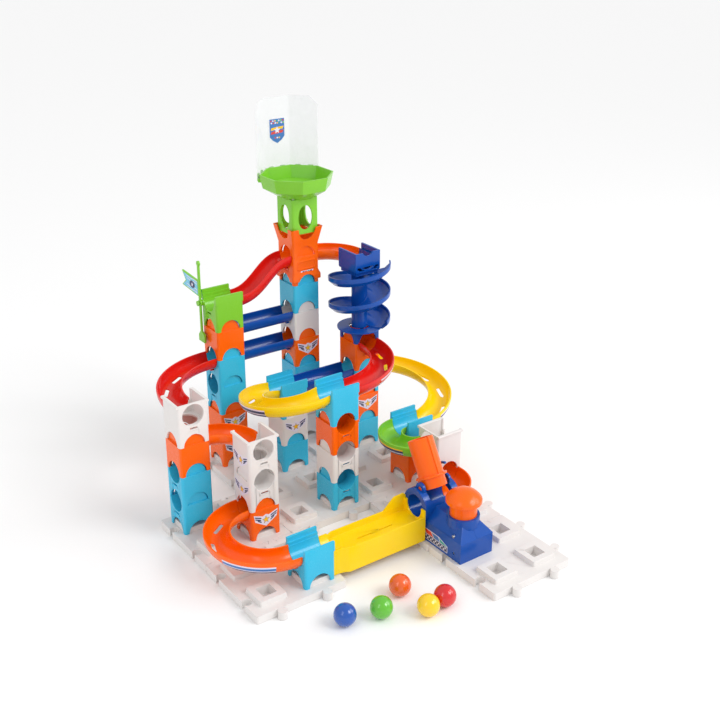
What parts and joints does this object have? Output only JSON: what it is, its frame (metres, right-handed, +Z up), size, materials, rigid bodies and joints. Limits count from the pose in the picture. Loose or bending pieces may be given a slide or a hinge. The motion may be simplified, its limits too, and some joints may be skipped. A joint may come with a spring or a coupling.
{
  "type": "marble run",
  "caption": "Modular marble run: plastic block towers on pegged base plates, linked by trough tracks, with funnel, spiral, flag and push-button launcher.",
  "frame": {"origin": "underside of the base plates (table plane) on the axis of tower 5, the front middle tower", "axes": "+Z up; +X towards the spiral side; +Y towards the funnel tower at the back; towers stand on a 60 mm lattice along X and Y"},
  "size_m": [0.4334, 0.5243, 0.4962],
  "materials": {
    "darkblue_plastic": "moulded ABS, gloss",
    "flag_blue": "moulded, gloss",
    "green_plastic": "moulded ABS, gloss",
    "lightblue_plastic": "moulded ABS, gloss",
    "marble_blue": "polished",
    "marble_green": "polished",
    "marble_orange": "polished",
    "marble_red": "polished",
    "marble_yellow": "polished",
    "orange_plastic": "moulded ABS, gloss",
    "red_plastic": "moulded ABS, gloss",
    "shield_clear": "frosted clear plastic",
    "steel": "zinc-plated",
    "white_plastic": "moulded ABS, gloss",
    "yellow_plastic": "moulded ABS, gloss"
  },
  "bodies": {
    "frame": {"funnel_shield": "shield_clear", "launcher_body_left": "darkblue_plastic", "launcher_body_right": "darkblue_plastic", "launcher_screws": "steel", "launcher_spring": "steel", "plates_left": "white_plastic", "plates_middle": "white_plastic", "plates_right": "white_plastic", "tower10_cradle": "white_plastic", "tower10_orange": "orange_plastic", "tower1_cradle": "white_plastic", "tower1_lightblue": "lightblue_plastic", "tower1_orange": "orange_plastic", "tower2_flag_holder": "green_plastic", "tower2_lightblue": "lightblue_plastic", "tower2_orange": "orange_plastic", "tower3_crown": "orange_plastic", "tower3_funnel": "green_plastic", "tower3_lightblue": "lightblue_plastic", "tower3_orange": "orange_plastic", "tower3_splitter": "orange_plastic", "tower3_white": "white_plastic", "tower4_holder": "lightblue_plastic", "tower4_lightblue": "lightblue_plastic", "tower4_white": "white_plastic", "tower5_holder": "lightblue_plastic", "tower5_lightblue": "lightblue_plastic", "tower5_orange": "orange_plastic", "tower5_white": "white_plastic", "tower6_lightblue": "lightblue_plastic", "tower6_orange": "orange_plastic", "tower6_spiral": "darkblue_plastic", "tower7_cradle": "white_plastic", "tower7_orange": "orange_plastic", "tower7_white": "white_plastic", "tower8_holder": "lightblue_plastic", "tower9_holder": "lightblue_plastic", "tower9_orange": "orange_plastic", "track_blue_bridges": "darkblue_plastic", "track_blue_link": "darkblue_plastic", "track_green_bend": "green_plastic", "track_orange_left_bend": "orange_plastic", "track_orange_outlet": "orange_plastic", "track_orange_return": "orange_plastic", "track_orange_top_bend": "orange_plastic", "track_red_left_bend": "red_plastic", "track_red_right_bend": "red_plastic", "track_red_slide": "red_plastic", "track_yellow_left_bend": "yellow_plastic", "track_yellow_right_bend": "yellow_plastic", "tray_yellow": "yellow_plastic"},
    "button": {"launcher_button": "orange_plastic"},
    "tube": {"launcher_tube": "orange_plastic"},
    "hammer": {"launcher_hammer": "white_plastic"},
    "flag": {"flag": "flag_blue"},
    "marble_blue": {"marble_blue": "marble_blue"},
    "marble_green": {"marble_green": "marble_green"},
    "marble_orange": {"marble_orange": "marble_orange"},
    "marble_red": {"marble_red": "marble_red"},
    "marble_yellow": {"marble_yellow": "marble_yellow"}
  },
  "joints": [
    {"name": "button_press", "type": "slide", "parent": "frame", "child": "button", "axis": [0, 0, -1], "range_m": [0, 0.008], "stiffness_N_per_m": 150, "springref_m": -0.004, "deforming": ["launcher_spring"]},
    {"name": "hammer_swing", "type": "hinge", "parent": "frame", "child": "hammer", "pos_m": [0.06, -0.15, 0.0285], "axis": [1, 0, 0], "range_deg": [0, 17.5]},
    {"name": "tube_tilt", "type": "hinge", "parent": "frame", "child": "tube", "pos_m": [0.06, -0.122, 0.072], "axis": [1, 0, 0], "range_deg": [-8, 8]},
    {"name": "flag_swing", "type": "hinge", "parent": "frame", "child": "flag", "pos_m": [-0.08025, 0.19575, 0.243], "axis": [1, 0, 0], "range_deg": [-25, 25]},
    {"name": "marble_blue_lift", "type": "slide", "parent": "frame", "child": "marble_blue", "axis": [0, 0, 1], "range_m": [0, 0.12]},
    {"name": "marble_green_lift", "type": "slide", "parent": "frame", "child": "marble_green", "axis": [0, 0, 1], "range_m": [0, 0.12]},
    {"name": "marble_orange_lift", "type": "slide", "parent": "frame", "child": "marble_orange", "axis": [0, 0, 1], "range_m": [0, 0.12]},
    {"name": "marble_red_lift", "type": "slide", "parent": "frame", "child": "marble_red", "axis": [0, 0, 1], "range_m": [0, 0.12]},
    {"name": "marble_yellow_lift", "type": "slide", "parent": "frame", "child": "marble_yellow", "axis": [0, 0, 1], "range_m": [0, 0.12]}
  ],
  "couplings": [
    {"joint": "hammer_swing", "follows": "button_press", "rad_per_m": 37.04}
  ]
}
